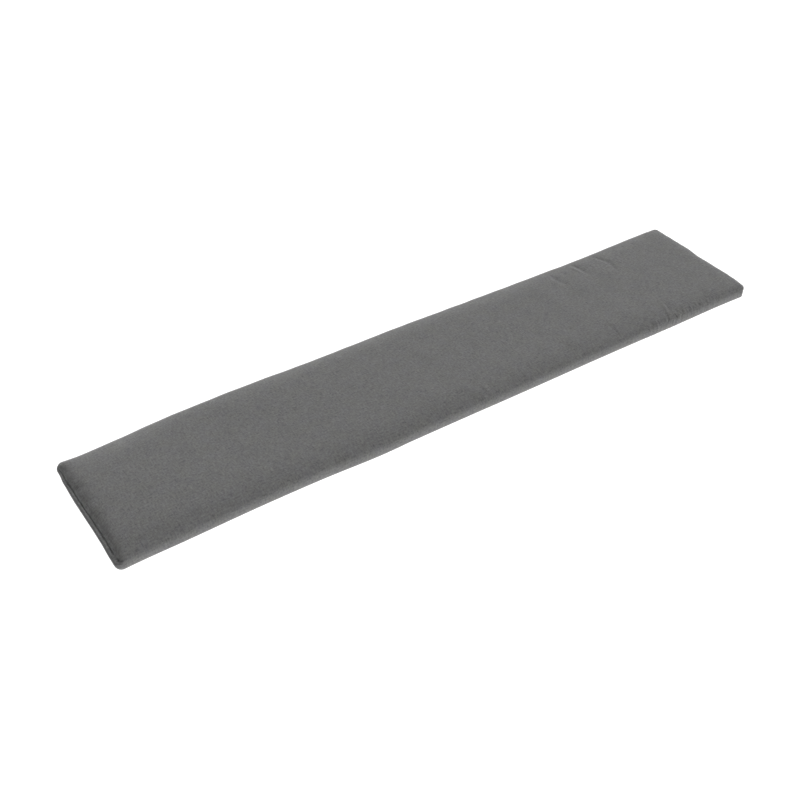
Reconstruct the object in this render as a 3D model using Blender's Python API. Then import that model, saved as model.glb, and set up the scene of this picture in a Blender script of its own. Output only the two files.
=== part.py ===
"""A long, slim bench cushion: a soft pad in a sewn fabric cover.

The cover wraps round both long edges without a seam, and one sunk seam closes each short end. The
cushion is one closed solid that lies on its flat underside. Units are metres, +Z is up, +X runs along
the cushion and -Y is its front long side. The origin is under the middle.
"""

import math

import bmesh
import bpy
from mathutils import Vector

# Driving dimensions: the straight cushion, before the tables below make it uneven.
LENGTH = 1.500
WIDTH = 0.3018
EDGE_HEIGHT = 0.0295
END_RUN = 0.060

# The edge roll leaves the surface on a round arc, bends in tightly over the side and then opens out,
# up to SHOULDER_ANGLE. From there the padding's soft shoulder rises to the flat of the top.
CONTACT_ANGLE = 62
ROLL_RADIUS = EDGE_HEIGHT / (1 + math.sin(math.radians(CONTACT_ANGLE)))
ROLL_ARCS = (
    # from_angle, to_angle, radius
    (-62, 30, ROLL_RADIUS),
    (30, 55, 0.0110),
    (55, 78, 0.0240),
)
SHOULDER_ANGLE = 78
SHOULDER_POWER = 3.7
LONG_SHOULDER = 0.064
END_SHOULDER = 0.030
TOP_HALF_LENGTH = LENGTH / 2 - ROLL_RADIUS
TOP_HALF_WIDTH = WIDTH / 2 - ROLL_RADIUS
CORNER_STEPS = 4
JOIN_DISTANCE = 1e-5
SHARP_ANGLE = math.radians(50)

# Rings of the edge roll, from the underside up: angle in degrees, the share of the left end's step
# that the ring takes, and how far the sewn left and right ends draw it in. The seam itself is the ring
# that is drawn in most.
RINGS = (
    # angle, step_share, left_draw, right_draw
    (-62, 0.00, 0.0000, 0.0010),
    (-36, 0.00, 0.0000, 0.0030),
    (-10, 0.00, 0.0000, 0.0041),
    (6, 0.07, 0.0000, 0.0044),
    (17, 0.30, 0.0000, 0.0045),
    (24, 0.55, 0.0034, 0.0082),
    (31, 0.73, 0.0000, 0.0024),
    (42, 0.93, 0.0000, 0.0006),
    (55, 1.00, 0.0000, 0.0000),
    (78, 1.00, 0.0000, 0.0000),
    (90, 1.00, 0.0000, 0.0000),
)
DRAW_RUN = 0.020

# How square each corner is, seen from above, at the foot of the roll and at its top: 2 is round.
CORNERS = (
    # end, side, low_power, high_power
    (-1, -1, 2.4, 2.3),
    (-1, 1, 2.0, 2.0),
    (1, -1, 3.2, 2.0),
    (1, 1, 2.4, 2.4),
)

# The left end's step, from the front corner to the back one: how much further in than the round lip
# below it the cover sits above the seam.
LEFT_STEPS = (
    # place, step
    (-0.150, 0.0055),
    (-0.126, 0.0098),
    (-0.060, 0.0092),
    (-0.010, 0.0084),
    (0.045, 0.0062),
    (0.100, 0.0052),
    (0.130, 0.0036),
    (0.150, 0.0005),
)
LEFT_STEP_RUN = 0.060

# Sections along the cushion: place along X, how far the front and back edges stand out from the
# straight, how far they rise above the usual height (minus is drawn in, or lower), and how full the
# shoulder above them is.
SECTIONS = (
    # station, front_out, back_out, front_rise, back_rise, front_soft, back_soft
    (-0.750, 0.0040, -0.0030, -0.0020, -0.0030, 0.55, 0.60),
    (-0.700, 0.0020, -0.0050, -0.0015, -0.0035, 0.65, 0.70),
    (-0.620, 0.0010, -0.0020, -0.0005, -0.0015, 1.00, 0.80),
    (-0.540, -0.0010, 0.0020, 0.0000, 0.0010, 1.15, 0.80),
    (-0.460, -0.0025, 0.0040, 0.0005, 0.0025, 1.10, 0.80),
    (-0.340, -0.0020, 0.0045, 0.0010, 0.0030, 0.85, 0.90),
    (-0.220, 0.0020, 0.0030, 0.0005, 0.0015, 1.15, 1.00),
    (-0.140, 0.0005, 0.0025, 0.0005, 0.0015, 1.30, 1.00),
    (-0.020, 0.0000, 0.0035, 0.0010, 0.0020, 1.20, 1.00),
    (0.140, 0.0000, 0.0015, 0.0000, 0.0010, 1.00, 1.00),
    (0.300, -0.0010, 0.0000, 0.0000, 0.0000, 0.85, 1.00),
    (0.400, -0.0010, -0.0010, 0.0000, -0.0005, 0.80, 0.90),
    (0.520, 0.0000, -0.0020, 0.0000, -0.0010, 0.85, 0.85),
    (0.660, -0.0005, 0.0000, 0.0000, 0.0000, 0.75, 0.80),
    (0.750, 0.0014, 0.0010, 0.0000, 0.0000, 0.50, 0.70),
)

# The sewn ends, from the front corner to the back one: place along Y, and how far the left and
# right ends stand out there.
ENDS = (
    # place, left_out, right_out
    (-0.150, -0.0013, -0.0010),
    (-0.110, -0.0008, 0.0030),
    (-0.070, -0.0018, 0.0037),
    (0.000, -0.0011, 0.0031),
    (0.050, -0.0008, 0.0041),
    (0.100, -0.0013, 0.0037),
    (0.125, -0.0026, 0.0033),
    (0.150, -0.0008, 0.0030),
)

# Soft folds and gathers over a long edge: the edge (-1 front, 1 back), place along X at the edge,
# how far that has moved at the inner end, the run in over the top, half width and depth.
FOLDS = (
    # side, station, drift, run, half_width, depth
    (1, 0.392, 0.022, 0.110, 0.012, 0.0016),
    (1, 0.466, 0.008, 0.095, 0.010, 0.0014),
    (1, 0.528, 0.022, 0.095, 0.010, 0.0014),
    (-1, -0.005, -0.006, 0.050, 0.010, 0.0007),
    (-1, 0.043, 0.014, 0.070, 0.010, 0.0009),
    (-1, 0.193, 0.004, 0.030, 0.010, 0.0007),
    (-1, 0.306, 0.004, 0.030, 0.010, 0.0008),
    (-1, 0.476, 0.006, 0.025, 0.006, 0.0010),
    (-1, 0.516, 0.022, 0.060, 0.007, 0.0015),
    (-1, 0.551, 0.010, 0.040, 0.006, 0.0014),
    (-1, 0.581, 0.008, 0.040, 0.006, 0.0012),
    (-1, 0.611, 0.006, 0.035, 0.006, 0.0010),
    (-1, 0.637, 0.006, 0.030, 0.006, 0.0009),
)

# Spacing of the stations along X, zone by zone from the left end.
STATION_ZONES = (
    # from_x, to_x, step
    (-TOP_HALF_LENGTH, -TOP_HALF_LENGTH + 0.020, 0.005),
    (-TOP_HALF_LENGTH + 0.020, -0.665, 0.0125),
    (-0.665, -0.060, 0.025),
    (-0.060, 0.360, 0.012),
    (0.360, 0.660, 0.006),
    (0.660, TOP_HALF_LENGTH - 0.020, 0.018),
    (TOP_HALF_LENGTH - 0.020, TOP_HALF_LENGTH, 0.005),
)

# Rows across the top, as a share of its half width.
ROW_SHARES = (0.0, 0.30, 0.56, 0.75, 0.88, 1.0)

FABRIC_GREY = (0.145, 0.145, 0.143, 1.0)
FABRIC_ROUGHNESS = 0.95


def clear_scene():
    for item in list(bpy.data.objects):
        bpy.data.objects.remove(item, do_unlink=True)


def fabric_material():
    material = bpy.data.materials.new("cover_fabric")
    material.use_nodes = True
    shader = material.node_tree.nodes["Principled BSDF"]
    shader.inputs["Base Color"].default_value = FABRIC_GREY
    shader.inputs["Roughness"].default_value = FABRIC_ROUGHNESS
    shader.inputs["Metallic"].default_value = 0.0
    return material


def smooth_step(share):
    share = min(max(share, 0.0), 1.0)
    return share * share * (3 - 2 * share)


def slopes(table, row):
    """How fast each column of a table changes at a row, by its first column."""
    before = table[max(row - 1, 0)]
    after = table[min(row + 1, len(table) - 1)]
    return [(b - a) / (after[0] - before[0]) for a, b in zip(before[1:], after[1:])]


def read_table(table, place):
    """The other columns where the first one is place, on smooth curves through the rows."""
    place = min(max(place, table[0][0]), table[-1][0])
    row = 0
    while row < len(table) - 2 and table[row + 1][0] <= place:
        row += 1
    start = table[row]
    stop = table[row + 1]
    span = stop[0] - start[0]
    t = (place - start[0]) / span
    columns = zip(start[1:], stop[1:], slopes(table, row), slopes(table, row + 1))
    values = []
    for a, b, slope_a, slope_b in columns:
        near = (1 + 2 * t) * a + t * span * slope_a
        far = (3 - 2 * t) * b + (t - 1) * span * slope_b
        values.append((1 - t) ** 2 * near + t**2 * far)
    return values


def stations():
    places = []
    for start, stop, step in STATION_ZONES:
        count = max(1, round((stop - start) / step))
        places += [start + (stop - start) * i / count for i in range(count)]
    return places + [TOP_HALF_LENGTH]


def rows():
    half = [share * TOP_HALF_WIDTH for share in ROW_SHARES]
    return [-y for y in reversed(half[1:])] + half


def outline():
    """Anchors on the rim of the top, all the way round, each with the way its side faces in degrees."""
    xs = stations()
    ys = rows()
    runs = (
        ([(x, ys[0]) for x in xs], -90),
        ([(xs[-1], y) for y in ys], 0),
        ([(x, ys[-1]) for x in reversed(xs)], 90),
        ([(xs[0], y) for y in reversed(ys)], 180),
    )
    around = []
    for anchors, facing in runs:
        around += [(x, y, facing) for x, y in anchors]
        corner_x, corner_y = anchors[-1]
        for step in range(1, CORNER_STEPS):
            around.append((corner_x, corner_y, facing + 90 * step / CORNER_STEPS))
    return around


def corner_stretch(x, y, facing, angle):
    """How much further out than a round corner a squarer one is, this way round it."""
    upper = smooth_step((angle + 10) / 40)
    power = 2.0
    for end, side, low_power, high_power in CORNERS:
        if x * end > 0 and y * side > 0:
            power = low_power + (high_power - low_power) * upper
    along = abs(math.cos(math.radians(facing))) ** power
    across = abs(math.sin(math.radians(facing))) ** power
    return (along + across) ** (-1 / power)


def roll_section(angle):
    """How far out from the rim, and how high, the straight roll is at this angle."""
    out = ROLL_RADIUS * math.cos(math.radians(CONTACT_ANGLE))
    high = 0.0
    for start, stop, radius in ROLL_ARCS:
        on_arc = math.radians(min(max(angle, start), stop))
        out += radius * (math.cos(on_arc) - math.cos(math.radians(start)))
        high += radius * (math.sin(on_arc) - math.sin(math.radians(start)))
    over = max(0.0, (angle - SHOULDER_ANGLE) / (90 - SHOULDER_ANGLE))
    return out * (1 - over), high


def shoulder(inward, run):
    """The share of its rise that the soft shoulder has made this far in from where it starts."""
    return 1 - (1 - min(max(inward / run, 0.0), 1.0)) ** SHOULDER_POWER


def crown(x, y):
    """How far the top stands above the end of the roll, on the four sides' shoulders together."""
    front_soft, back_soft = read_table(SECTIONS, x)[4:]
    soft = front_soft + (back_soft - front_soft) * smooth_step(0.5 + 1.5 * y / WIDTH)
    start = roll_section(SHOULDER_ANGLE)[0]
    across = shoulder(TOP_HALF_WIDTH + start - abs(y), LONG_SHOULDER)
    along = shoulder(TOP_HALF_LENGTH + start - abs(x), END_SHOULDER)
    slope = 1 / math.tan(math.radians(SHOULDER_ANGLE))
    return slope * LONG_SHOULDER / SHOULDER_POWER * soft * across * along


def fold_depth(x, side, inward):
    """How deep the folds over one long edge are at x, this far in over the top."""
    depth = 0.0
    for fold_side, station, drift, run, half_width, deepest in FOLDS:
        if fold_side == side and inward < run:
            aside = (x - station - drift * inward / run) / half_width
            depth += deepest * math.exp(-aside * aside) * (1 - smooth_step(inward / run))
    return depth


def settle(x, y, z):
    """Move a point of the straight cushion to where the uneven one has it."""
    front_out, back_out, front_rise, back_rise = read_table(SECTIONS, x)[:4]
    to_back = smooth_step(0.5 + y / WIDTH)
    out = to_back * back_out - (1 - to_back) * front_out
    rise = to_back * back_rise + (1 - to_back) * front_rise
    left_out, right_out = read_table(ENDS, y)
    near_end = smooth_step(1 - (LENGTH / 2 - abs(x)) / END_RUN)
    along = near_end * (right_out if x > 0 else -left_out)
    return Vector((x + along, y + out, z * (1 + rise / EDGE_HEIGHT)))


def stepped(x, y, z, share):
    """Move a point in by its share of the left end's step, then to its uneven place."""
    step = share * read_table(LEFT_STEPS, y)[0]
    return settle(x + step * (1 - smooth_step((x + LENGTH / 2) / LEFT_STEP_RUN)), y, z)


def ring_points(angle, step_share, left_draw, right_draw):
    """One ring of the edge roll. Folds sink it towards the middle of the roll's arc."""
    above_contact = smooth_step((angle + CONTACT_ANGLE) / CONTACT_ANGLE)
    straight_out, high = roll_section(angle)
    level = math.radians(angle)
    points = []
    for x, y, facing in outline():
        turn = math.radians(facing)
        depth = above_contact * fold_depth(x, round(math.sin(turn)), 0.0)
        out = straight_out * corner_stretch(x, y, facing, angle) - depth * math.cos(level)
        at_x = x + out * math.cos(turn)
        at_y = y + out * math.sin(turn)
        near_end = smooth_step(1 - (LENGTH / 2 - abs(at_x)) / DRAW_RUN)
        at_x += near_end * (left_draw if x < 0 else -right_draw)
        z = high - depth * math.sin(level)
        if angle >= SHOULDER_ANGLE:
            z += crown(at_x, at_y)
        points.append(stepped(at_x, at_y, z, step_share))
    return points


def add_sides(mesh):
    """Bands between neighbouring rings, and the underside as one flat face."""
    rings = []
    for angle, step_share, left_draw, right_draw in RINGS:
        points = ring_points(angle, step_share, left_draw, right_draw)
        rings.append([mesh.verts.new(point) for point in points])
    count = len(rings[0])
    for lower, upper in zip(rings, rings[1:]):
        for i in range(count):
            following = (i + 1) % count
            mesh.faces.new((lower[i], lower[following], upper[following], upper[i]))
    mesh.faces.new(list(reversed(rings[0])))


def top_point(x, y):
    """A point of the top, from its place on the straight cushion."""
    side = 1 if y > 0 else -1
    depth = fold_depth(x, side, TOP_HALF_WIDTH - abs(y))
    high = roll_section(90)[1]
    return stepped(x, y, high + crown(x, y) - depth, 1.0)


def add_top(mesh):
    xs = stations()
    ys = rows()
    grid = [[mesh.verts.new(top_point(x, y)) for y in ys] for x in xs]
    for i in range(len(xs) - 1):
        for j in range(len(ys) - 1):
            mesh.faces.new((grid[i][j], grid[i + 1][j], grid[i + 1][j + 1], grid[i][j + 1]))


def centre(mesh):
    """Shift the uneven outline so that the origin is under the middle of its box."""
    for axis in (0, 1):
        places = [vertex.co[axis] for vertex in mesh.verts]
        middle = (min(places) + max(places)) / 2
        for vertex in mesh.verts:
            vertex.co[axis] -= middle


def cushion():
    mesh = bmesh.new()
    add_sides(mesh)
    add_top(mesh)
    bmesh.ops.remove_doubles(mesh, verts=mesh.verts, dist=JOIN_DISTANCE)
    centre(mesh)
    data = bpy.data.meshes.new("cushion")
    mesh.to_mesh(data)
    mesh.free()
    data.shade_smooth()
    data.set_sharp_from_angle(angle=SHARP_ANGLE)
    data.materials.append(fabric_material())
    piece = bpy.data.objects.new("cushion", data)
    bpy.context.scene.collection.objects.link(piece)
    return piece


clear_scene()
cushion()
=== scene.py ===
"""A long, slim bench cushion as it looks: a soft pad in a dark grey fabric cover with sewn ends.

Units are metres, +Z is up, +X runs along the cushion and -Y is its front long side. The cover is laid
out on its own flat pattern, the unrolled plane: the top panel, with each side rolled out beyond it.
"""

import math

import bpy
import numpy as np
from mathutils import Matrix, Vector, kdtree


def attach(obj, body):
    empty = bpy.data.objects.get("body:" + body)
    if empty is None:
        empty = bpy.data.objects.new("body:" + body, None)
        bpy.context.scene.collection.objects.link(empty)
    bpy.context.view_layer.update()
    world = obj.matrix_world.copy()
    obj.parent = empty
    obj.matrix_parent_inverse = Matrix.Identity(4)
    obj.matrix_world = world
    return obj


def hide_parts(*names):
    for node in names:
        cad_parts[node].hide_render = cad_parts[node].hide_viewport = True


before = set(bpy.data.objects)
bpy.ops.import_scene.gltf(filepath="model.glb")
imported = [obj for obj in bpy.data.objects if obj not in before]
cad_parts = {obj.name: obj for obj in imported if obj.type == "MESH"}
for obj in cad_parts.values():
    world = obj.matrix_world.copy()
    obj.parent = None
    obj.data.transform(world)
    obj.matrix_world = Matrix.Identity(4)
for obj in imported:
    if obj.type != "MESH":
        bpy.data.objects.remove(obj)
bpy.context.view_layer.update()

# The straight cushion, before the tables below make it uneven.
LENGTH = 1.501
WIDTH = 0.3028
EDGE_HEIGHT = 0.0295
CONTACT_ANGLE = math.radians(62)
ROLL_RADIUS = EDGE_HEIGHT / (1 + math.sin(CONTACT_ANGLE))
TOP_HALF_LENGTH = LENGTH / 2 - ROLL_RADIUS
TOP_HALF_WIDTH = WIDTH / 2 - ROLL_RADIUS
END_RUN = 0.060

# Above the round side the roll bends in tightly, then opens out, up to SHOULDER_ANGLE, where the
# padding's soft shoulder takes over and rises to the flat of the top.
ROLL_ARCS = (
    # from_angle, radius
    (-62, ROLL_RADIUS),
    (30, 0.0110),
    (55, 0.0240),
)
SHOULDER_ANGLE = 78
SHOULDER_POWER = 3.7
LONG_SHOULDER = 0.064
END_SHOULDER = 0.030
# The front shoulder's strength turns into the back one's over the middle 1 / SOFT_CHANGE of the width.
SOFT_CHANGE = 1.5

# At the left end the cover above the seam sits further in than the round lip below it.
LEFT_STEPS = (
    # place, step
    (-0.150, 0.0055),
    (-0.126, 0.0102),
    (-0.060, 0.0092),
    (-0.010, 0.0089),
    (0.045, 0.0079),
    (0.100, 0.0069),
    (0.130, 0.0042),
    (0.150, 0.0005),
)
LEFT_STEP_RUN = 0.060
# How much of that step each angle of the roll takes.
STEP_SHARES = (
    # angle, share
    (-62, 0.00),
    (-13, 0.00),
    (4, 0.00),
    (12, 0.06),
    (18, 0.22),
    (24, 0.55),
    (30, 0.74),
    (38, 0.91),
    (46, 1.00),
    (54, 1.00),
    (90, 1.00),
)

# How high the padding swells behind the left seam, over what run, and where that starts and fades out.
LEFT_SWELLS = (
    # place, height, run
    (-0.150, 0.0000, 0.014),
    (-0.128, 0.0000, 0.014),
    (-0.114, 0.0014, 0.011),
    (-0.095, 0.0020, 0.012),
    (-0.061, 0.0024, 0.018),
    (-0.014, 0.0031, 0.031),
    (0.032, 0.0036, 0.044),
    (0.078, 0.0030, 0.042),
    (0.118, 0.0013, 0.036),
    (0.140, 0.0000, 0.036),
    (0.150, 0.0000, 0.036),
)
LEFT_SWELL_POWER = 1.5
LEFT_SWELL_FROM = -0.7415
LEFT_SWELL_FADE = (0.080, 0.280)

# How far the sewn right end leans in, from the underside up.
RIGHT_DRAWS = (
    # angle, draw
    (-62, 0.0010),
    (-30, 0.0034),
    (0, 0.0043),
    (16, 0.0045),
    (24, 0.0048),
    (30, 0.0026),
    (42, 0.0006),
    (56, 0.0000),
    (90, 0.0000),
)
DRAW_RUN = 0.020
# The front corner of the right end is drawn in further, most at the middle angle of its bulge.
CORNER_DRAW = 0.0055
CORNER_DRAW_ANGLE = -10
CORNER_DRAW_SPREAD = 30
CORNER_DRAW_FROM = (0.715, -0.120)
CORNER_DRAW_FADE = 0.025
# How square each corner is, seen from above, at the foot of the roll and at its top: 2 is round. One
# becomes the other between the two CORNER_ANGLES.
CORNERS = (
    # end, side, low_power, high_power
    (-1, -1, 2.4, 2.3),
    (-1, 1, 1.9, 1.9),
    (1, -1, 3.2, 2.0),
    (1, 1, 2.4, 2.4),
)
CORNER_ANGLES = (-10, 30)

# The seam itself: a tight channel that dips inwards and down, and runs out just before the corners. Its
# half width is in degrees of the roll.
SEAM_ANGLE = 24
SEAM_HALF_WIDTH = 2.6
SEAM_DEPTH = 0.0026
SEAM_DIP = math.radians(42)
SEAM_STOPS = (-0.118, 0.108)
SEAM_FADES = (0.004, 0.028)

# Places along the cushion: how far the front and back edges stand out from the straight, how far they
# rise above the usual height, and how strong the shoulder is there.
SECTIONS = (
    # station, front_out, back_out, front_rise, back_rise, front_soft, back_soft
    (-0.750, 0.0040, -0.0030, -0.0020, -0.0030, 0.55, 0.60),
    (-0.700, 0.0020, -0.0050, -0.0015, -0.0035, 0.65, 0.70),
    (-0.620, 0.0010, -0.0020, -0.0005, -0.0015, 1.00, 0.80),
    (-0.540, -0.0010, 0.0020, 0.0000, 0.0010, 1.15, 0.80),
    (-0.460, -0.0025, 0.0040, 0.0005, 0.0025, 1.10, 0.80),
    (-0.340, -0.0020, 0.0045, 0.0010, 0.0030, 0.85, 0.90),
    (-0.220, 0.0020, 0.0030, 0.0005, 0.0015, 1.15, 1.00),
    (-0.140, 0.0005, 0.0025, 0.0005, 0.0015, 1.30, 1.00),
    (-0.020, 0.0000, 0.0035, 0.0010, 0.0020, 1.20, 1.00),
    (0.140, 0.0000, 0.0015, 0.0000, 0.0010, 1.00, 1.00),
    (0.300, -0.0010, 0.0000, 0.0000, 0.0000, 0.85, 1.00),
    (0.400, -0.0010, -0.0010, 0.0000, -0.0005, 0.80, 0.90),
    (0.520, 0.0000, -0.0020, 0.0000, -0.0010, 0.85, 0.85),
    (0.660, -0.0005, 0.0000, 0.0000, 0.0000, 0.75, 0.80),
    (0.750, 0.0014, 0.0010, 0.0000, 0.0000, 0.50, 0.70),
)
# How far the two ends stand out from the straight, from the front corner to the back one.
ENDS = (
    # place, left_out, right_out
    (-0.150, -0.0013, -0.0022),
    (-0.110, -0.0008, 0.0026),
    (-0.070, -0.0018, 0.0027),
    (0.000, -0.0011, 0.0026),
    (0.050, -0.0008, 0.0041),
    (0.100, -0.0013, 0.0037),
    (0.125, -0.0034, 0.0033),
    (0.150, -0.0030, 0.0030),
)

# Creases over the front edge: points along each one, how far down the roll from its top edge (less than
# nothing is in over the top), half the width, and the height; less than nothing is a valley.
FRONT_FOLDS = (
    # fold, x, down, half_width, height
    (1, 0.0450, -0.0260, 0.0040, 0.0005),
    (1, 0.0440, -0.0100, 0.0040, 0.0008),
    (1, 0.0430, 0.0090, 0.0040, 0.0007),
    (2, 0.0560, -0.0300, 0.0050, -0.0004),
    (2, 0.0540, -0.0050, 0.0050, -0.0007),
    (2, 0.0520, 0.0110, 0.0050, -0.0005),
    (3, 0.0960, -0.0140, 0.0035, -0.0005),
    (3, 0.0860, 0.0060, 0.0035, -0.0007),
    (4, 0.1370, -0.0140, 0.0035, -0.0006),
    (4, 0.1240, 0.0060, 0.0035, -0.0007),
    (5, 0.0080, -0.0100, 0.0050, -0.0004),
    (5, 0.0020, 0.0120, 0.0050, -0.0004),
    (6, 0.1980, -0.0080, 0.0045, -0.0004),
    (6, 0.1900, 0.0100, 0.0045, -0.0004),
    (7, 0.3100, -0.0060, 0.0040, -0.0004),
    (7, 0.3030, 0.0120, 0.0040, -0.0005),
    (8, 0.3880, -0.0500, 0.0050, -0.0005),
    (8, 0.3880, -0.0250, 0.0045, -0.0007),
    (8, 0.3850, -0.0040, 0.0040, -0.0006),
    (8, 0.3800, 0.0100, 0.0040, -0.0006),
    (9, 0.4770, -0.0040, 0.0038, -0.0008),
    (9, 0.4690, 0.0070, 0.0034, -0.0010),
    (9, 0.4620, 0.0160, 0.0034, -0.0008),
    (10, 0.4880, -0.0020, 0.0034, 0.0006),
    (10, 0.4800, 0.0100, 0.0034, 0.0008),
    (11, 0.5240, -0.0060, 0.0034, -0.0008),
    (11, 0.5170, 0.0060, 0.0030, -0.0012),
    (11, 0.5100, 0.0140, 0.0030, -0.0016),
    (11, 0.5050, 0.0220, 0.0034, -0.0009),
    (12, 0.5400, -0.0420, 0.0050, 0.0006),
    (12, 0.5330, -0.0220, 0.0042, 0.0011),
    (12, 0.5250, -0.0060, 0.0040, 0.0012),
    (12, 0.5180, 0.0040, 0.0040, 0.0008),
    (13, 0.5460, -0.0420, 0.0045, -0.0003),
    (13, 0.5380, -0.0200, 0.0038, -0.0007),
    (13, 0.5300, -0.0040, 0.0036, -0.0007),
    (14, 0.5500, -0.0040, 0.0034, -0.0006),
    (14, 0.5440, 0.0040, 0.0034, -0.0008),
    (15, 0.5640, -0.0020, 0.0034, -0.0009),
    (15, 0.5560, 0.0080, 0.0030, -0.0012),
    (15, 0.5510, 0.0150, 0.0030, -0.0010),
    (15, 0.5470, 0.0220, 0.0034, -0.0008),
    (16, 0.5740, -0.0160, 0.0040, 0.0005),
    (16, 0.5660, 0.0000, 0.0038, 0.0008),
    (16, 0.5600, 0.0100, 0.0034, 0.0008),
    (17, 0.5930, 0.0020, 0.0030, -0.0006),
    (17, 0.5860, 0.0110, 0.0030, -0.0005),
    (17, 0.5810, 0.0180, 0.0030, -0.0005),
    (18, 0.6110, -0.0040, 0.0032, -0.0003),
    (18, 0.6040, 0.0080, 0.0030, -0.0004),
    (18, 0.6000, 0.0140, 0.0030, -0.0005),
    (19, 0.6240, -0.0120, 0.0034, -0.0003),
    (19, 0.6170, 0.0020, 0.0030, -0.0004),
    (19, 0.6110, 0.0120, 0.0030, -0.0004),
    (19, 0.6070, 0.0190, 0.0030, -0.0005),
    (20, 0.6340, -0.0080, 0.0032, -0.0004),
    (20, 0.6260, 0.0080, 0.0030, -0.0003),
    (20, 0.6220, 0.0140, 0.0030, -0.0004),
    (21, 0.6450, -0.0060, 0.0030, -0.0004),
    (21, 0.6380, 0.0090, 0.0028, -0.0003),
    (21, 0.6340, 0.0160, 0.0028, -0.0005),
    (22, 0.6500, -0.0020, 0.0028, -0.0004),
    (22, 0.6430, 0.0120, 0.0028, -0.0003),
    (23, 0.6620, -0.0020, 0.0028, -0.0005),
    (23, 0.6540, 0.0100, 0.0028, -0.0004),
    (23, 0.6500, 0.0160, 0.0028, -0.0006),
    (24, 0.6820, -0.0040, 0.0040, -0.0004),
    (24, 0.6760, 0.0100, 0.0036, -0.0007),
    (25, 0.7120, 0.0000, 0.0040, -0.0004),
    (25, 0.7060, 0.0120, 0.0036, -0.0006),
    (26, -0.1400, -0.0080, 0.0045, -0.0004),
    (26, -0.1480, 0.0100, 0.0045, -0.0005),
    (27, -0.3050, -0.0060, 0.0045, -0.0004),
    (27, -0.3120, 0.0100, 0.0045, -0.0005),
    (28, -0.4760, -0.0100, 0.0050, -0.0004),
    (28, -0.4850, 0.0080, 0.0050, -0.0005),
)
# Fine pleats that run from the creases down the front side: where the top and the foot of each one lie,
# how far down the roll its top is, and the height. PLEAT_STRENGTHS says how much of it there is on the way.
FRONT_PLEATS = (
    # top_x, foot_x, down, height
    (0.4020, 0.3900, 0.004, 0.0007),
    (0.4140, 0.4060, 0.006, 0.0006),
    (0.4620, 0.4560, 0.004, 0.0011),
    (0.4715, 0.4690, 0.006, 0.0008),
    (0.4850, 0.4750, 0.000, 0.0012),
    (0.4960, 0.4880, 0.008, 0.0007),
    (0.5124, 0.5030, -0.002, 0.0012),
    (0.5300, 0.5200, 0.004, 0.0008),
    (0.5425, 0.5300, 0.000, 0.0012),
    (0.5480, 0.5360, 0.002, 0.0010),
    (0.5560, 0.5490, -0.004, 0.0009),
    (0.5720, 0.5620, 0.004, 0.0007),
    (0.5870, 0.5750, -0.010, 0.0007),
    (0.5930, 0.5820, -0.002, 0.0006),
    (0.6060, 0.5910, -0.012, 0.0007),
    (0.6150, 0.6030, -0.008, 0.0006),
    (0.6225, 0.6085, -0.014, 0.0007),
    (0.6360, 0.6240, -0.006, 0.0005),
    (0.6520, 0.6400, -0.004, 0.0005),
    (0.6680, 0.6570, -0.002, 0.0003),
)
PLEAT_HALF_WIDTH = 0.0030
PLEAT_FOOT = 0.044
PLEAT_STRENGTHS = (
    # share_of_way, strength
    (0, 0.4),
    (0.3, 1.0),
    (0.6, 1.0),
    (1, 0.4),
)
# Creases over the back edge, in the same way as those over the front one.
BACK_FOLDS = (
    # fold, x, down, half_width, height
    (1, 0.3940, 0.0010, 0.0050, -0.0006),
    (1, 0.4040, -0.0180, 0.0064, -0.0011),
    (1, 0.4040, -0.0400, 0.0076, -0.0011),
    (1, 0.4100, -0.0620, 0.0080, -0.0008),
    (1, 0.4060, -0.0850, 0.0080, -0.0004),
    (2, 0.4670, 0.0050, 0.0044, -0.0008),
    (2, 0.4750, -0.0160, 0.0058, -0.0012),
    (2, 0.4770, -0.0380, 0.0068, -0.0010),
    (2, 0.4810, -0.0640, 0.0070, -0.0006),
    (3, 0.4640, -0.0060, 0.0045, 0.0006),
    (3, 0.4670, -0.0300, 0.0050, 0.0008),
    (3, 0.4700, -0.0520, 0.0050, 0.0004),
    (4, 0.5340, 0.0090, 0.0040, -0.0010),
    (4, 0.5390, -0.0140, 0.0056, -0.0013),
    (4, 0.5480, -0.0440, 0.0072, -0.0012),
    (4, 0.5440, -0.0720, 0.0074, -0.0008),
    (4, 0.5460, -0.1000, 0.0074, -0.0004),
    (5, 0.4310, -0.0120, 0.0040, -0.0005),
    (5, 0.4340, -0.0280, 0.0040, -0.0006),
    (5, 0.4360, -0.0360, 0.0040, -0.0004),
    (6, 0.5010, -0.0280, 0.0045, -0.0004),
    (6, 0.5060, -0.0460, 0.0045, -0.0005),
    (7, 0.6180, -0.0040, 0.0035, -0.0006),
    (7, 0.6230, -0.0200, 0.0040, -0.0007),
    (8, 0.6440, -0.0060, 0.0035, -0.0006),
    (8, 0.6490, -0.0260, 0.0045, -0.0007),
    (9, 0.6480, -0.0480, 0.0100, -0.0006),
    (9, 0.6540, -0.0700, 0.0100, -0.0005),
    (10, 0.2300, -0.0040, 0.0050, -0.0004),
    (10, 0.2340, -0.0240, 0.0050, -0.0004),
    (11, -0.3600, -0.0060, 0.0060, -0.0004),
    (11, -0.3560, -0.0300, 0.0060, -0.0004),
)
# How much the cover banks up along a valley, and dips along a ridge, and the share of a crease's length
# over which each of its ends runs out.
FOLD_BANKS = 0.5
FOLD_ENDS = 0.35
# A crease is read at this many places from one of its points to the next, and reaches this many half
# widths to its sides.
FOLD_STEPS = 12
FOLD_REACH = 3
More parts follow.
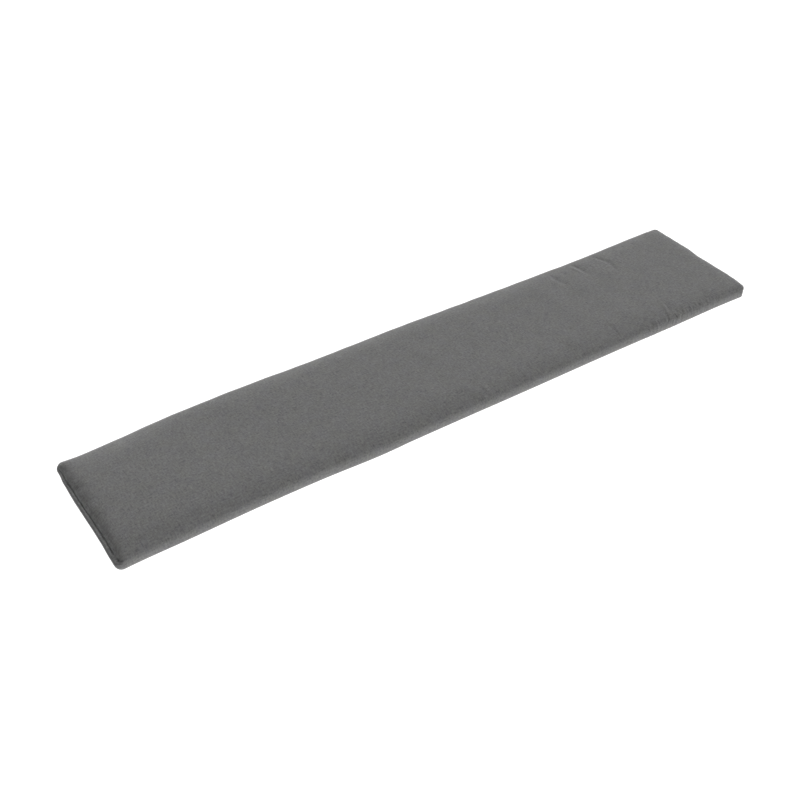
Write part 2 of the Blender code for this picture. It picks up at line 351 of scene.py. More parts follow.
# Tucks where the left end's seam runs out at the corners, by points on the unrolled plane.
CORNER_TUCKS = (
    # tuck, along_x, along_y, half_width, height
    (1, -0.7518, -0.1290, 0.0018, -0.0008),
    (1, -0.7516, -0.1350, 0.0022, -0.0022),
    (1, -0.7505, -0.1410, 0.0024, -0.0022),
    (1, -0.7485, -0.1475, 0.0020, -0.0010),
    (2, -0.7560, -0.1400, 0.0014, -0.0008),
    (2, -0.7535, -0.1480, 0.0016, -0.0012),
    (2, -0.7470, -0.1540, 0.0016, -0.0012),
    (2, -0.7390, -0.1575, 0.0014, -0.0006),
    (3, -0.7500, -0.1425, 0.0020, -0.0008),
    (3, -0.7455, -0.1445, 0.0024, -0.0011),
    (3, -0.7400, -0.1455, 0.0024, -0.0008),
    (3, -0.7340, -0.1455, 0.0026, -0.0004),
    (4, -0.7470, 0.1380, 0.0024, -0.0010),
    (4, -0.7400, 0.1450, 0.0024, -0.0008),
)
# Soft puckers along the end seams: which end, place along it, how far they run in over the top, half the
# width at the seam and the height. They widen by PUCKER_WIDENING for each metre that they run in.
PUCKERS = (
    # end, place, run, half_width, height
    (-1, -0.097, 0.022, 0.0050, -0.0003),
    (-1, -0.064, 0.028, 0.0055, -0.0004),
    (-1, -0.030, 0.030, 0.0050, -0.0003),
    (-1, 0.016, 0.026, 0.0055, -0.0004),
    (-1, 0.058, 0.024, 0.0045, -0.0003),
    (-1, 0.104, 0.020, 0.0050, -0.0003),
    (1, -0.098, 0.016, 0.0050, -0.0004),
    (1, -0.050, 0.020, 0.0055, -0.0004),
    (1, 0.008, 0.018, 0.0050, -0.0004),
    (1, 0.060, 0.020, 0.0055, -0.0004),
    (1, 0.110, 0.014, 0.0050, -0.0004),
)
PUCKER_START = 0.008
PUCKER_FADE = 0.018
PUCKER_WIDENING = 20

# Wide, low swells and hollows of the top, and a faint unevenness all over it.
SWELLS = (
    # x, y, half_length, half_width, height
    (-0.460, 0.070, 0.035, 0.090, -0.0010),
    (-0.370, 0.040, 0.025, 0.080, -0.0006),
    (-0.670, 0.000, 0.060, 0.110, 0.0006),
    (0.350, 0.000, 0.030, 0.110, 0.0008),
    (0.235, -0.040, 0.015, 0.030, -0.0006),
    (0.440, 0.050, 0.025, 0.060, 0.0006),
    (0.510, 0.060, 0.022, 0.060, 0.0006),
    (0.600, 0.020, 0.045, 0.090, 0.0007),
    (0.120, 0.020, 0.060, 0.090, 0.0005),
    (-0.150, 0.030, 0.080, 0.090, 0.0006),
)
WAVE_COUNT = 26
WAVE_LENGTHS = (0.045, 0.170)
WAVE_HEIGHT = 0.00006
WAVE_SEED = 11
# Swells and the cloth's moves fade in up the roll, between these two angles.
SIDE_ANGLES = (-55, 0)
# Points of the underside have this angle instead of one on the roll.
UNDERSIDE = -90
# Places are the same to this many digits of a metre.
SAME_DIGITS = 6

# Spacing of the fine mesh, zone by zone, along the cushion and across it, and the angles of its rings.
STATION_ZONES = (
    # from_x, to_x, step
    (-TOP_HALF_LENGTH, -0.712, 0.0015),
    (-0.712, -0.640, 0.0036),
    (-0.640, -0.020, 0.0056),
    (-0.020, 0.150, 0.0032),
    (0.150, 0.370, 0.0052),
    (0.370, 0.450, 0.0024),
    (0.450, 0.660, 0.0016),
    (0.660, 0.680, 0.0021),
    (0.680, TOP_HALF_LENGTH, 0.0024),
)
ROW_ZONES = (
    # from_y, to_y, step
    (-TOP_HALF_WIDTH, -0.100, 0.0024),
    (-0.100, 0.040, 0.0060),
    (0.040, TOP_HALF_WIDTH, 0.0036),
)
RING_ANGLES = (
    -62, -52, -43, -34, -26, -19, -13, -7, -1, 5, 10, 14, 17, 19, 20.5, 22, 23.2, 24, 24.8, 26, 27.5, 29,
    31, 34, 38, 43, 48, 54, 60, 66, 72, 78, 82, 86, 90,
)
CORNER_STEPS = 10

# The simulated cloth is coarser. It starts a little smaller and is blown out.
CLOTH_STATION_ZONES = (
    # from_x, to_x, step
    (-TOP_HALF_LENGTH, -0.690, 0.0050),
    (-0.690, 0.690, 0.0130),
    (0.690, TOP_HALF_LENGTH, 0.0050),
)
CLOTH_ROW_ZONES = (
    # from_y, to_y, step
    (-TOP_HALF_WIDTH, TOP_HALF_WIDTH, 0.0066),
)
CLOTH_RING_ANGLES = (-62, -34, -8, 8, 18, 24, 30, 42, 58, 78, 90)
CLOTH_CORNER_STEPS = 4
CLOTH_FRAMES = 20
CLOTH_SHRINK = 0.0012
CLOTH_SETTINGS = {
    "quality": 4,
    "mass": 0.3,
    "tension_stiffness": 12,
    "compression_stiffness": 12,
    "shear_stiffness": 5,
    "bending_stiffness": 0.3,
    "shrink_min": -0.03,
    "shrink_max": -0.03,
    "use_pressure": True,
    "uniform_pressure_force": 4.0,
    "pin_stiffness": 1.0,
}
# The cloth is held fully below this angle and along the end seams, and elsewhere by CLOTH_HOLD.
CLOTH_FOOT_ANGLE = -40
CLOTH_HOLD = 0.02
MOST_CLOTH_MOVE = 0.0018
# The foam inside lets the cover go only CARRY_SHARE of the way. Each point of the fine mesh follows the
# CARRY_COUNT nearest points of the cloth, the nearer the more.
CARRY_SHARE = 0.35
CARRY_COUNT = 10
CARRY_REACH = 0.009

# The fabric, in metres on the unrolled cover. A shade is how far a pattern lightens and darkens it, a
# relief how far it raises the yarns, and a detail the number of finer layers in a noise.
FABRIC_WARM = (0.1513, 0.1516, 0.1462)
FABRIC_COOL = (0.1480, 0.1481, 0.1502)
FABRIC_ROUGHNESS = 0.92
FLECK_ROUGHNESS = 0.12
FABRIC_SPECULAR = 0.2
FABRIC_SHEEN = 0.12
SHEEN_ROUGHNESS = 0.5
WEAVE_PITCH = 0.0009
WEAVE_SHADE = 0.10
WEAVE_RELIEF = 0.00008
YARN_LENGTH = 0.014
YARN_WIDTH = 0.0022
YARN_SHADE = 0.66
YARN_RELIEF = 0.0001
FLECK_SIZE = 0.0040
FLECK_SHADE = 1.05
FLECK_DETAIL = 3.0
MOTTLE_SIZE = 0.045
MOTTLE_SHADE = 0.16
TINT_SIZE = 0.026
TINT_CONTRAST = 3.0
NOISE_DETAIL = 2.0
NOISE_ROUGHNESS = 0.55
BUMP_STRENGTH = 0.5

# Soft studio lights, by where they stand round the cushion: azimuth is from +Y towards +X.
LIGHTS = (
    # name, azimuth, elevation, strength, spread
    ("low_back_light", 0, 8, 3.14, 25),
    ("key_light", 45, 30, 2.04, 25),
    ("high_right_light", 60, 45, 0.95, 25),
    ("front_light", 181, 2, 3.71, 25),
)
LIGHT_DISTANCE = 3
WORLD_STRENGTH = 0.08
# The stage: a dull grey that glows, so that it is white in every view and shows no shadow.
STAGE_GREY = 0.15
STAGE_GLOW = 1.10
STAGE_RADIUS = 9.0
STAGE_SIDES = 48
FLOOR_HEIGHT = -0.0004
WALL_HEIGHT = 9.0

# The camera of the view: where it stands, how it is turned in degrees, and its lens.
CAMERA_PLACE = (-1.07955, -1.52600, 1.48844)
CAMERA_YAW = 33.2803
CAMERA_PITCH = 39.7360
CAMERA_ROLL = 0.0168
SENSOR_WIDTH = 36.0
LENS = 52.4538


def smooth_step(share):
    share = np.clip(share, 0.0, 1.0)
    return share * share * (3 - 2 * share)


def read_table(table, place):
    """The other columns where the first one is place, on smooth curves through the rows."""
    rows = np.array(table)
    last = len(rows) - 1
    numbers = np.arange(last + 1)
    after = rows[np.minimum(numbers + 1, last)]
    before = rows[np.maximum(numbers - 1, 0)]
    slopes = (after[:, 1:] - before[:, 1:]) / (after[:, :1] - before[:, :1])
    place = np.clip(place, rows[0, 0], rows[-1, 0])
    at = np.clip(np.searchsorted(rows[:, 0], place, side="right") - 1, 0, last - 1)
    start = rows[at]
    stop = rows[at + 1]
    span = stop[..., :1] - start[..., :1]
    t = (place[..., None] - start[..., :1]) / span
    near = (1 + 2 * t) * start[..., 1:] + t * span * slopes[at]
    far = (3 - 2 * t) * stop[..., 1:] + (t - 1) * span * slopes[at + 1]
    values = (1 - t) ** 2 * near + t**2 * far
    return [values[..., i] for i in range(values.shape[-1])]


def spaced(zones):
    """Places in a row, zone by zone, with the last end included."""
    places = []
    for start, stop, step in zones:
        count = max(1, round((stop - start) / step))
        places += [start + (stop - start) * i / count for i in range(count)]
    return np.array(places + [zones[-1][1]])


def outline(xs, ys, corner_steps):
    """Anchors on the rim of the top, all the way round: place along X and Y, and the way its side faces."""
    runs = (
        ([(x, ys[0]) for x in xs], -90),
        ([(xs[-1], y) for y in ys], 0),
        ([(x, ys[-1]) for x in xs[::-1]], 90),
        ([(xs[0], y) for y in ys[::-1]], 180),
    )
    around = []
    for anchors, facing in runs:
        around += [(x, y, facing) for x, y in anchors]
        corner_x, corner_y = anchors[-1]
        for step in range(1, corner_steps):
            around.append((corner_x, corner_y, facing + 90 * step / corner_steps))
    return np.array(around)


def pattern_points(around, xs, ys, angles):
    """Anchor x and y, facing and angle of every point: the rings, then the top, then the underside."""
    rings = [np.column_stack([around, np.full(len(around), angle)]) for angle in (UNDERSIDE, *angles)]
    grid_x, grid_y = np.meshgrid(xs, ys, indexing="ij")
    flat = np.zeros(grid_x.size)
    top = np.column_stack([grid_x.ravel(), grid_y.ravel(), flat, flat + 90])
    bottom = np.column_stack([grid_x.ravel(), grid_y.ravel(), flat, flat + UNDERSIDE])
    return np.concatenate([*rings, top, bottom])


def pattern_quads(ring_count, around_count, column_count, row_count):
    """The four points of each face: the bands between the rings, then the top, then the underside."""
    start = np.arange(ring_count - 1)[:, None] * around_count
    here = np.arange(around_count)[None, :]
    after = (here + 1) % around_count
    above = start + around_count
    bands = np.stack([start + here, start + after, above + after, above + here], -1).reshape(-1, 4)
    cell = (np.arange(column_count - 1)[:, None] * row_count + np.arange(row_count - 1)[None, :]).ravel()
    panel = np.stack([cell, cell + row_count, cell + row_count + 1, cell + 1], -1)
    top = ring_count * around_count + panel
    bottom = top + column_count * row_count
    return np.concatenate([bands, top, bottom[:, ::-1]])


class Pattern:
    """The cover's points on the straight cushion: anchor x and y, facing, and the angle on the roll."""

    def __init__(self, xs, ys, angles, corner_steps):
        around = outline(xs, ys, corner_steps)
        points = pattern_points(around, xs, ys, angles)
        quads = pattern_quads(len(angles) + 1, len(around), len(xs), len(ys))
        # Points that lie on one another become one.
        facing = np.radians(points[:, 2])
        spread = np.cos(np.radians(points[:, 3]))
        place_x = points[:, 0] + spread * np.cos(facing)
        place_y = points[:, 1] + spread * np.sin(facing)
        keys = np.round(np.column_stack([place_x, place_y, points[:, 3]]), SAME_DIGITS)
        kept, merged = np.unique(keys, axis=0, return_index=True, return_inverse=True)[1:]
        points = points[kept]
        self.corners = merged.ravel()[quads]
        self.faces = [tuple(dict.fromkeys(face)) for face in self.corners.tolist()]
        self.x, self.y = points[:, 0], points[:, 1]
        self.facing = np.radians(points[:, 2])
        self.degrees = points[:, 3]
        self.under = self.degrees == UNDERSIDE
        arc = ROLL_RADIUS * np.radians(90 - self.degrees)
        self.unrolled_x = self.x + arc * np.cos(self.facing)
        self.unrolled_y = self.y + arc * np.sin(self.facing)

    def normals(self, places):
        """Which way the cover faces at each point."""
        a, b, c, d = (places[self.corners[:, i]] for i in range(4))
        across = np.cross(c - a, d - b)
        total = np.zeros_like(places)
        for i in range(4):
            np.add.at(total, self.corners[:, i], across)
        return total / np.linalg.norm(total, axis=1)[:, None]


def seam_share(pattern):
    """How much of the end seam's channel is there: all along an end, none at its corners."""
    close = 10**-SAME_DIGITS
    on_end = np.abs(np.abs(np.cos(pattern.facing)) - 1) < close
    on_end &= np.abs(pattern.x) > TOP_HALF_LENGTH - close
    front_past = (SEAM_STOPS[0] - pattern.y) / SEAM_FADES[0]
    back_past = (pattern.y - SEAM_STOPS[1]) / SEAM_FADES[1]
    return np.where(on_end, 1 - smooth_step(np.maximum(front_past, back_past)), 0.0)


def corner_stretch(pattern):
    """How much further out than a round corner the squarer ones are."""
    low_angle, high_angle = CORNER_ANGLES
    upper = smooth_step((pattern.degrees - low_angle) / (high_angle - low_angle))
    power = np.full(len(pattern.x), 2.0)
    for end, side, low_power, high_power in CORNERS:
        here = (pattern.x * end > 0) & (pattern.y * side > 0)
        power[here] = (low_power + (high_power - low_power) * upper)[here]
    along = np.abs(np.cos(pattern.facing)) ** power
    across = np.abs(np.sin(pattern.facing)) ** power
    return (along + across) ** (-1 / power)


def roll_section(degrees):
    """How far out from the rim, and how high, the straight roll is at these angles."""
    out = np.full(len(degrees), ROLL_RADIUS * math.cos(CONTACT_ANGLE))
    high = np.zeros(len(degrees))
    stops = [row[0] for row in ROLL_ARCS[1:]] + [SHOULDER_ANGLE]
    for (start, radius), stop in zip(ROLL_ARCS, stops):
        on_arc = np.radians(np.clip(degrees, start, stop))
        out += radius * (np.cos(on_arc) - math.cos(math.radians(start)))
        high += radius * (np.sin(on_arc) - math.sin(math.radians(start)))
    over = np.clip((degrees - SHOULDER_ANGLE) / (90 - SHOULDER_ANGLE), 0, 1)
    return out * (1 - over), high


SHOULDER_START = float(roll_section(np.array([SHOULDER_ANGLE]))[0][0])
SHOULDER_SLOPE = 1 / math.tan(math.radians(SHOULDER_ANGLE))


def shoulder(inward, run):
    """The share of its rise that the soft shoulder has made this far in from where it starts."""
    return 1 - (1 - np.clip(inward / run, 0, 1)) ** SHOULDER_POWER


def settle(x, y, z):
    """Where the uneven cushion has a point of the straight one."""
    front_out, back_out, front_rise, back_rise = read_table(SECTIONS, x)[:4]
    to_back = smooth_step(0.5 + y / WIDTH)
    out = to_back * back_out - (1 - to_back) * front_out
    rise = to_back * back_rise + (1 - to_back) * front_rise
    left_out, right_out = read_table(ENDS, y)
    near_end = smooth_step(1 - (LENGTH / 2 - np.abs(x)) / END_RUN)
    along = near_end * np.where(x > 0, right_out, -left_out)
    return np.column_stack([x + along, y + out, z * (1 + rise / EDGE_HEIGHT)])


def right_draw(degrees, x, y):
    """How far the sewn right end is drawn in at points of the straight cushion."""
    draw = read_table(RIGHT_DRAWS, degrees)[0] * smooth_step(1 - (LENGTH / 2 - x) / DRAW_RUN)
    bulge = np.exp(-(((degrees - CORNER_DRAW_ANGLE) / CORNER_DRAW_SPREAD) ** 2))
    from_x, from_y = CORNER_DRAW_FROM
    to_front = smooth_step((from_y - y) / CORNER_DRAW_FADE)
    to_end = smooth_step((x - from_x) / CORNER_DRAW_FADE)
    return draw + CORNER_DRAW * bulge * to_front * to_end


def crown(pattern, x, y):
    """How high the soft shoulders of the four sides rise together, up to the flat of the top."""
    front_soft, back_soft = read_table(SECTIONS, pattern.x)[4:]
    to_back = smooth_step(0.5 + SOFT_CHANGE * pattern.y / WIDTH)
    soft = front_soft + (back_soft - front_soft) * to_back
    long_share = shoulder(TOP_HALF_WIDTH + SHOULDER_START - np.abs(y), LONG_SHOULDER)
    short_share = shoulder(TOP_HALF_LENGTH + SHOULDER_START - np.abs(x), END_SHOULDER)
    return SHOULDER_SLOPE * LONG_SHOULDER / SHOULDER_POWER * soft * long_share * short_share


def left_swell(x, y):
    """How high the padding swells behind the left seam."""
    height, run = read_table(LEFT_SWELLS, y)
    inward = np.maximum(x - LEFT_SWELL_FROM, 0)
    swell = height * (1 - np.maximum(1 - inward / run, 0) ** LEFT_SWELL_POWER)
    fade_from, fade_to = LEFT_SWELL_FADE
    return swell * (1 - smooth_step((inward - fade_from) / (fade_to - fade_from)))


def shape(pattern):
    """Every point of the cover in its place."""
    degrees = pattern.degrees
    out, high = roll_section(degrees)
    seam = SEAM_DEPTH * np.exp(-(((degrees - SEAM_ANGLE) / SEAM_HALF_WIDTH) ** 2)) * seam_share(pattern)
    reach = np.where(pattern.under, 0, out * corner_stretch(pattern) - seam * math.cos(SEAM_DIP))
    x = pattern.x + reach * np.cos(pattern.facing)
    y = pattern.y + reach * np.sin(pattern.facing)
    x = np.where(pattern.under, x, x - right_draw(degrees, x, y))
    on_top = degrees >= SHOULDER_ANGLE
    z = high - seam * math.sin(SEAM_DIP) + np.where(on_top, crown(pattern, x, y), 0)
    step = read_table(LEFT_STEPS, y)[0] * read_table(STEP_SHARES, degrees)[0]
    step = step * (1 - smooth_step((x + LENGTH / 2) / LEFT_STEP_RUN))
    z = z + left_swell(x + step, y)
    z = np.where(pattern.under, 0, np.maximum(z, 0))
    return settle(x + np.where(pattern.under, 0, step), y, z)


def new_mesh(name, pattern, places):
    """A closed mesh of the pattern's faces with its points at these places."""
    mesh = bpy.data.meshes.new(name)
    mesh.from_pydata([tuple(p) for p in places], [], pattern.faces)
    unrolled = mesh.attributes.new("unrolled", "FLOAT_VECTOR", "POINT")
    flat = np.column_stack([pattern.unrolled_x, pattern.unrolled_y, np.zeros(len(places))])
    unrolled.data.foreach_set("vector", flat.astype(np.float32).ravel())
    return mesh


def centre(places):
    """The points shifted so that the middle of their box is over the origin."""
    middle = (places.min(0) + places.max(0)) / 2
    return places - np.array([middle[0], middle[1], 0])


def pleat_rows():
    """The pleats as lines of points like the other creases."""
    rows = []
    for pleat, (top_x, foot_x, down, height) in enumerate(FRONT_PLEATS):
        for share, strength in PLEAT_STRENGTHS:
            x = top_x + (foot_x - top_x) * share
            place = down + (PLEAT_FOOT - down) * share
            rows.append((pleat, x, place, PLEAT_HALF_WIDTH, height * strength))
    return rows


def fold_relief(pattern, table, side):
    """The height of a table's creases at each point.

    Side is -1 for creases by how far down the front edge they lie, 1 for the back edge, and 0 for creases
    by their place on the unrolled plane.
    """
    relief = np.zeros(len(pattern.x))
    rows = np.array(table)
    for fold in np.unique(rows[:, 0]):
        line = rows[rows[:, 0] == fold][:, 1:]
        numbered = np.column_stack([np.arange(len(line)), line])
        last = len(line) - 1
        steps = np.linspace(0, last, FOLD_STEPS * last + 1)
        x, y, half_width, height = read_table(numbered, steps)
        if side:
            y = side * (TOP_HALF_WIDTH + y)
        ends = np.minimum(steps, last - steps) / (FOLD_ENDS * last)
        height = height * smooth_step(ends)
        reach = FOLD_REACH * half_width.max()
        near = (pattern.unrolled_x > x.min() - reach) & (pattern.unrolled_x < x.max() + reach)
        near &= (pattern.unrolled_y > y.min() - reach) & (pattern.unrolled_y < y.max() + reach)
        near &= ~pattern.under
        along = pattern.unrolled_x[near, None] - x
        across = pattern.unrolled_y[near, None] - y
        apart = along**2 + across**2
        closest = apart.argmin(1)
        share = apart[np.arange(len(closest)), closest] / half_width[closest] ** 2
        relief[near] += height[closest] * (1 - FOLD_BANKS * share) * np.exp(-share)
    return relief


def pucker_relief(pattern):
    """The height of the puckers that run in from the end seams, at each point."""
    seam_x = TOP_HALF_LENGTH + ROLL_RADIUS * math.radians(90 - SEAM_ANGLE)
    relief = np.zeros(len(pattern.x))
    for end, place, run, half_width, height in PUCKERS:
        inward = seam_x - end * pattern.unrolled_x
        reach = smooth_step(inward / PUCKER_START) * (1 - smooth_step(inward / (run + PUCKER_FADE)))
        width = half_width * (1 + PUCKER_WIDENING * np.maximum(inward, 0))
        relief += height * reach * np.exp(-(((pattern.unrolled_y - place) / width) ** 2))
    return relief


def swell_relief(pattern):
    """The height of the wide swells and of the faint unevenness at each point."""
    relief = np.zeros(len(pattern.x))
    for x, y, half_length, half_width, height in SWELLS:
        apart = ((pattern.unrolled_x - x) / half_length) ** 2 + ((pattern.unrolled_y - y) / half_width) ** 2
        relief += height * np.exp(-apart)
    numbers = np.random.default_rng(WAVE_SEED)
    for _ in range(WAVE_COUNT):
        length = numbers.uniform(*WAVE_LENGTHS)
        turn = numbers.uniform(0, math.pi)
        start = numbers.uniform(0, 2 * math.pi)
        along = pattern.unrolled_x * math.cos(turn) + pattern.unrolled_y * math.sin(turn)
        relief += WAVE_HEIGHT * np.sin(2 * math.pi * along / length + start)
    return relief


def side_share(pattern):
    """None on the underside and the foot of the roll, all from the middle of the roll upwards."""
    foot, middle = SIDE_ANGLES
    return np.where(pattern.under, 0, smooth_step((pattern.degrees - foot) / (middle - foot)))


def held_share(pattern):
    """How firmly each point of the cloth is held: fully on the underside, its rim and the end seams."""
    at_seam = (pattern.degrees == SEAM_ANGLE) & (seam_share(pattern) > 0.5)
    firm = pattern.under | (pattern.degrees < CLOTH_FOOT_ANGLE) | at_seam
    return np.where(firm, 1.0, CLOTH_HOLD)


def blown_cloth(pattern, places):
    """How far the cover moves when it is blown out from a slightly smaller start."""
    held = held_share(pattern)
    start = places - CLOTH_SHRINK * pattern.normals(places) * np.where(held < 1, 1, 0)[:, None]
    piece = bpy.data.objects.new("cloth_start", new_mesh("cloth_start", pattern, start))
    bpy.context.scene.collection.objects.link(piece)
    group = piece.vertex_groups.new(name="held")
    for level in np.unique(held):
        group.add(np.flatnonzero(held == level).tolist(), float(level), "REPLACE")
    cloth = piece.modifiers.new("cloth", "CLOTH")
    for name, value in CLOTH_SETTINGS.items():
        setattr(cloth.settings, name, value)
    cloth.settings.effector_weights.gravity = 0
    cloth.settings.vertex_group_mass = "held"
    cloth.collision_settings.use_collision = False
    cloth.point_cache.frame_start = 1
    cloth.point_cache.frame_end = CLOTH_FRAMES
    for number in range(1, CLOTH_FRAMES + 1):
        bpy.context.scene.frame_set(number)
    graph = bpy.context.evaluated_depsgraph_get()
    result = piece.evaluated_get(graph).data
    moved = np.empty(3 * len(places), dtype=np.float32)
    result.vertices.foreach_get("co", moved)
    moved = moved.reshape(-1, 3).astype(float) - places
    bpy.context.scene.frame_set(1)
    mesh = piece.data
    bpy.data.objects.remove(piece)
    bpy.data.meshes.remove(mesh)
    far = np.maximum(np.linalg.norm(moved, axis=1) / MOST_CLOTH_MOVE, 1)
    return moved / far[:, None]


def carried_move(moved, places, fine, fine_places):
    """The coarse cloth's moves, smoothly carried over to the points of the fine mesh."""
    tree = kdtree.KDTree(len(places))
    for number, place in enumerate(places):
        tree.insert(place, number)
    tree.balance()
    result = np.zeros_like(fine_places)
    for number, place in enumerate(fine_places):
        total = 0.0
        for _, found, distance in tree.find_n(place, CARRY_COUNT):
            weight = math.exp(-((distance / CARRY_REACH) ** 2))
            result[number] += weight * moved[found]
            total += weight
        result[number] /= total
    return CARRY_SHARE * result * side_share(fine)[:, None]


class Nodes:
    """Short ways to add the nodes that the fabric is made of."""

    def __init__(self, tree):
        self.tree = tree

    def add(self, kind, inputs, **settings):
        """A node with its settings and inputs, where an input is a value or another node's socket."""
        node = self.tree.nodes.new(kind)
        for name, value in settings.items():
            setattr(node, name, value)
        for name, value in inputs.items():
            if isinstance(value, bpy.types.NodeSocket):
                self.tree.links.new(value, node.inputs[name])
            else:
                node.inputs[name].default_value = value
        return node

    def math(self, operation, *values):
        return self.add("ShaderNodeMath", dict(enumerate(values)), operation=operation).outputs[0]

    def noise(self, places, feature, detail):
        """Noise from about 0 to 1, whose features have this length along X, Y and Z."""
        scale = tuple(1 / length for length in feature)
        mapped = self.add("ShaderNodeMapping", {"Vector": places, "Scale": scale})
        inputs = {"Vector": mapped.outputs[0], "Scale": 1.0, "Detail": detail, "Roughness": NOISE_ROUGHNESS}
        return self.add("ShaderNodeTexNoise", inputs, noise_dimensions="3D").outputs[0]


def fabric_material():
    """A plain weave of unevenly spun grey yarns with a short nap."""
    material = bpy.data.materials.new("cushion_cover")
    material.use_nodes = True
    nodes = Nodes(material.node_tree)
    shader = material.node_tree.nodes["Principled BSDF"]
    places = nodes.add("ShaderNodeAttribute", {}, attribute_name="unrolled").outputs["Vector"]
    split = nodes.add("ShaderNodeSeparateXYZ", {"Vector": places})
    turns = math.pi / WEAVE_PITCH
    warp = nodes.math("SINE", nodes.math("MULTIPLY", split.outputs[0], turns))
    weft = nodes.math("SINE", nodes.math("MULTIPLY", split.outputs[1], turns))
    weave = nodes.math("MULTIPLY", warp, weft)
    long_yarns = nodes.noise(places, (YARN_LENGTH, YARN_WIDTH, 1.0), NOISE_DETAIL)
    cross_yarns = nodes.noise(places, (YARN_WIDTH, YARN_LENGTH, 1.0), NOISE_DETAIL)
    flecks = nodes.noise(places, (FLECK_SIZE, FLECK_SIZE, 1.0), FLECK_DETAIL)
    mottle = nodes.noise(places, (MOTTLE_SIZE, MOTTLE_SIZE, 1.0), NOISE_DETAIL)
    tint = nodes.noise(places, (TINT_SIZE, TINT_SIZE, 1.0), NOISE_DETAIL)
    shade = nodes.math("MULTIPLY_ADD", weave, WEAVE_SHADE, 1.0)
    for pattern, strength in (
        (long_yarns, YARN_SHADE),
        (cross_yarns, YARN_SHADE),
        (flecks, FLECK_SHADE),
        (mottle, MOTTLE_SHADE),
    ):
        centred = nodes.math("SUBTRACT", pattern, 0.5)
        shade = nodes.math("MULTIPLY_ADD", centred, strength, shade)
    # Inputs 4 and 5 of a mix node are its two vectors, and input 3 of a vector scale is the factor.
    cool_share = nodes.math("MULTIPLY_ADD", tint, TINT_CONTRAST, 0.5 - TINT_CONTRAST / 2)
    tones = {"Factor": cool_share, 4: FABRIC_WARM, 5: FABRIC_COOL}
    tone = nodes.add("ShaderNodeMix", tones, data_type="VECTOR")
    grey = nodes.add("ShaderNodeVectorMath", {0: tone.outputs[1], 3: shade}, operation="SCALE")
    nodes.tree.links.new(grey.outputs[0], shader.inputs["Base Color"])
    rough = nodes.math("MULTIPLY_ADD", flecks, FLECK_ROUGHNESS, FABRIC_ROUGHNESS - FLECK_ROUGHNESS / 2)
    nodes.tree.links.new(rough, shader.inputs["Roughness"])
    height = nodes.math("MULTIPLY", weave, WEAVE_RELIEF)
    height = nodes.math("MULTIPLY_ADD", long_yarns, YARN_RELIEF, height)
    height = nodes.math("MULTIPLY_ADD", cross_yarns, YARN_RELIEF, height)
    bump = nodes.add("ShaderNodeBump", {"Height": height, "Strength": BUMP_STRENGTH, "Distance": 1.0})
    nodes.tree.links.new(bump.outputs[0], shader.inputs["Normal"])
    shader.inputs["Specular IOR Level"].default_value = FABRIC_SPECULAR
    shader.inputs["Sheen Weight"].default_value = FABRIC_SHEEN
    shader.inputs["Sheen Roughness"].default_value = SHEEN_ROUGHNESS
    return material


def build_cushion():
    pattern = Pattern(spaced(STATION_ZONES), spaced(ROW_ZONES), RING_ANGLES, CORNER_STEPS)
    places = shape(pattern)
    rows = spaced(CLOTH_ROW_ZONES)
    coarse = Pattern(spaced(CLOTH_STATION_ZONES), rows, CLOTH_RING_ANGLES, CLOTH_CORNER_STEPS)
    coarse_places = shape(coarse)
    moved = blown_cloth(coarse, coarse_places)
    places = places + carried_move(moved, coarse_places, pattern, places)
    relief = fold_relief(pattern, FRONT_FOLDS, -1) + fold_relief(pattern, pleat_rows(), -1)
    relief += fold_relief(pattern, BACK_FOLDS, 1)
    relief += fold_relief(pattern, CORNER_TUCKS, 0) + pucker_relief(pattern)
    relief += swell_relief(pattern) * side_share(pattern)
    places = places + relief[:, None] * pattern.normals(places)
    places[:, 2] = np.where(pattern.under, 0, np.maximum(places[:, 2], 0))
    mesh = new_mesh("bench_cushion", pattern, centre(places))
    mesh.shade_smooth()
    mesh.materials.append(fabric_material())
    piece = bpy.data.objects.new("bench_cushion", mesh)
    bpy.context.scene.collection.objects.link(piece)
    return piece


def add_camera():
    yaw = math.radians(CAMERA_YAW)
    pitch = math.radians(CAMERA_PITCH)
    forward = Vector((math.sin(yaw) * math.cos(pitch), math.cos(yaw) * math.cos(pitch), -math.sin(pitch)))
    level = Vector((math.cos(yaw), -math.sin(yaw), 0))
    upright = level.cross(forward)
    turn = math.radians(CAMERA_ROLL)
    right = math.cos(turn) * level + math.sin(turn) * upright
    up = math.cos(turn) * upright - math.sin(turn) * level
    data = bpy.data.cameras.new("camera")
    data.sensor_width = SENSOR_WIDTH
    data.lens = LENS
    camera = bpy.data.objects.new("camera", data)
    axes = Matrix((right, up, -forward)).transposed().to_4x4()
    camera.matrix_world = Matrix.Translation(CAMERA_PLACE) @ axes
    bpy.context.scene.collection.objects.link(camera)
    bpy.context.scene.camera = camera


def stage_material():
    material = bpy.data.materials.new("stage_white")
    material.use_nodes = True
    shader = material.node_tree.nodes["Principled BSDF"]
    shader.inputs["Base Color"].default_value = (STAGE_GREY, STAGE_GREY, STAGE_GREY, 1)
    shader.inputs["Roughness"].default_value = 1.0
    shader.inputs["Specular IOR Level"].default_value = 0.0
    shader.inputs["Emission Color"].default_value = (1, 1, 1, 1)
    shader.inputs["Emission Strength"].default_value = STAGE_GLOW
    return material


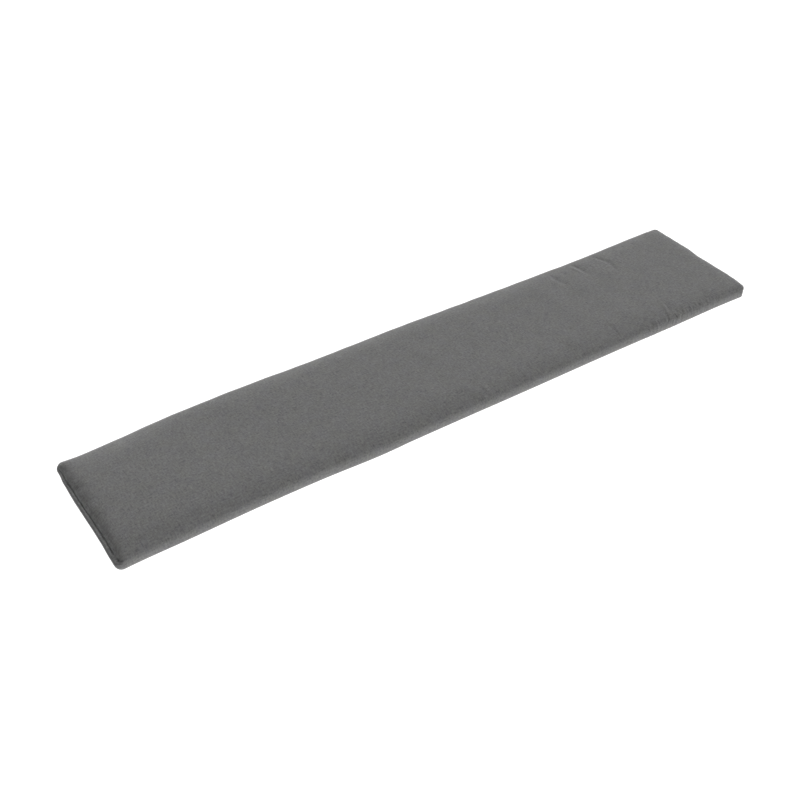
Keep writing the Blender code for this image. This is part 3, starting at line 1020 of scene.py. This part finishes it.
def stage_piece(name, points, faces, material):
    mesh = bpy.data.meshes.new(name)
    mesh.from_pydata(points, [], faces)
    mesh.materials.append(material)
    piece = bpy.data.objects.new(name, mesh)
    bpy.context.scene.collection.objects.link(piece)
    return piece


def add_stage():
    """A round white floor, and a white wall round it that the lights pass through."""
    count = STAGE_SIDES
    turns = [2 * math.pi * i / count for i in range(count)]
    rim = [(STAGE_RADIUS * math.cos(turn), STAGE_RADIUS * math.sin(turn)) for turn in turns]
    low = [(x, y, FLOOR_HEIGHT) for x, y in rim]
    high = [(x, y, WALL_HEIGHT) for x, y in rim]
    wall_faces = [(i, (i + 1) % count, count + (i + 1) % count, count + i) for i in range(count)]
    material = stage_material()
    stage_piece("floor", low, [tuple(range(count))], material)
    wall = stage_piece("wall", low + high, wall_faces, material)
    wall.visible_diffuse = False
    wall.visible_glossy = False
    wall.visible_shadow = False


def add_light(name, azimuth, elevation, strength, spread):
    turn = math.radians(azimuth)
    lift = math.radians(elevation)
    away = Vector((math.sin(turn) * math.cos(lift), math.cos(turn) * math.cos(lift), math.sin(lift)))
    data = bpy.data.lights.new(name, "SUN")
    data.energy = strength
    data.angle = math.radians(spread)
    light = bpy.data.objects.new(name, data)
    light.location = away * LIGHT_DISTANCE
    light.rotation_mode = "QUATERNION"
    light.rotation_quaternion = (-away).to_track_quat("-Z", "Y")
    bpy.context.scene.collection.objects.link(light)


def add_lights():
    world = bpy.data.worlds.new("studio")
    world.use_nodes = True
    background = world.node_tree.nodes["Background"]
    background.inputs["Color"].default_value = (1, 1, 1, 1)
    background.inputs["Strength"].default_value = WORLD_STRENGTH
    bpy.context.scene.world = world
    for name, azimuth, elevation, strength, spread in LIGHTS:
        add_light(name, azimuth, elevation, strength, spread)


def set_colours():
    view = bpy.context.scene.view_settings
    view.view_transform = "Standard"
    view.look = "None"
    view.exposure = 0
    view.gamma = 1


cushion = build_cushion()
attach(cushion, "root")
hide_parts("cushion")
add_camera()
add_stage()
add_lights()
set_colours()
